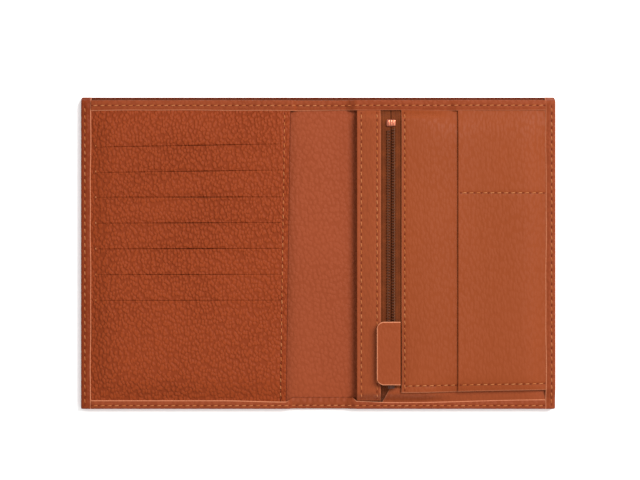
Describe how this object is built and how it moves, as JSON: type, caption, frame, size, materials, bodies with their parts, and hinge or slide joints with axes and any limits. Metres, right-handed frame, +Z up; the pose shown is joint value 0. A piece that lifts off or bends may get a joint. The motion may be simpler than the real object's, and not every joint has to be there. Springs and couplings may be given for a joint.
{
  "type": "travel document organizer",
  "caption": "Open leather travel wallet that folds like a book, with card slots, an identity card pocket, a passport pocket and a zipped coin pocket with a leather pull.",
  "frame": {"origin": "under the middle of the open wallet, at the underside of the cover", "axes": "+X to the right along the open width, +Y to the wallet's top, +Z up out of the open pages"},
  "size_m": [0.222, 0.146, 0.0136],
  "materials": {
    "cover_leather": "grained calf, outside of the cover",
    "panel_leather": "pebbled calf, soft semi-matt",
    "edge_leather": "thinned turned edge with a pale cut edge",
    "lining": "woven brown pocket lining",
    "zip_tape": "woven brown zip tape",
    "zip_coil": "dark brown nylon coil",
    "copper_metal": "polished copper-coloured clip",
    "lacquered_metal": "dark brown lacquered slider",
    "thread": "waxed thread a shade lighter than the leather"
  },
  "bodies": {
    "right_half": {"cover_right": "cover_leather", "side_hem_right": "edge_leather", "bottom_hem_right": "edge_leather", "top_binding_right": "edge_leather", "divider_right": "panel_leather", "coin_pocket_back": "panel_leather", "coin_gusset": "panel_leather", "coin_panel": "panel_leather", "front_pocket": "panel_leather", "zip_strip": "panel_leather", "cover_lining_right": "lining", "coin_pocket_lining": "lining", "zip_tape_left": "zip_tape", "zip_tape_right": "zip_tape", "zip_coil_left": "zip_coil", "zip_coil_right": "zip_coil", "zip_bottom_stop": "copper_metal", "zip_top_stops": "copper_metal", "stitching_side_right": "thread", "stitching_bottom_right": "thread", "stitching_top_right": "thread", "stitching_pocket_mouth": "thread", "stitching_zip_strip": "thread", "stitching_coin_edge": "thread", "stitching_coin_bottom": "thread", "stitching_front_seam": "thread"},
    "left_half": {"cover_left": "cover_leather", "cover_lining_left": "lining", "divider_left": "panel_leather", "side_hem_left": "edge_leather", "bottom_hem_left": "edge_leather", "top_binding_left": "edge_leather", "card_backing": "lining", "card_panel": "panel_leather", "card_pocket_1": "lining", "card_pocket_2": "lining", "card_pocket_3": "lining", "card_pocket_4": "lining", "card_pocket_5": "lining", "card_pocket_6": "lining", "card_pocket_7": "lining", "stitching_side_left": "thread", "stitching_bottom_left": "thread", "stitching_top_left": "thread", "stitching_card_edge": "thread", "stitching_slot_ends": "thread"},
    "zip_slider": {"slider_body": "lacquered_metal", "slider_pin": "lacquered_metal"},
    "zip_puller": {"pull_link": "lacquered_metal", "pull_tab": "panel_leather"}
  },
  "joints": [
    {"name": "fold", "type": "hinge", "parent": "right_half", "child": "left_half", "pos_m": [0, 0, 0.011], "axis": [0, 1, 0], "range_deg": [0, 180]},
    {"name": "zip_slide", "type": "slide", "parent": "right_half", "child": "zip_slider", "axis": [0, 1, 0], "range_m": [0, 0.111]},
    {"name": "puller_flip", "type": "hinge", "parent": "zip_slider", "child": "zip_puller", "pos_m": [0.034, -0.0623, 0.0127], "axis": [1, 0, 0], "range_deg": [0, 180]}
  ]
}
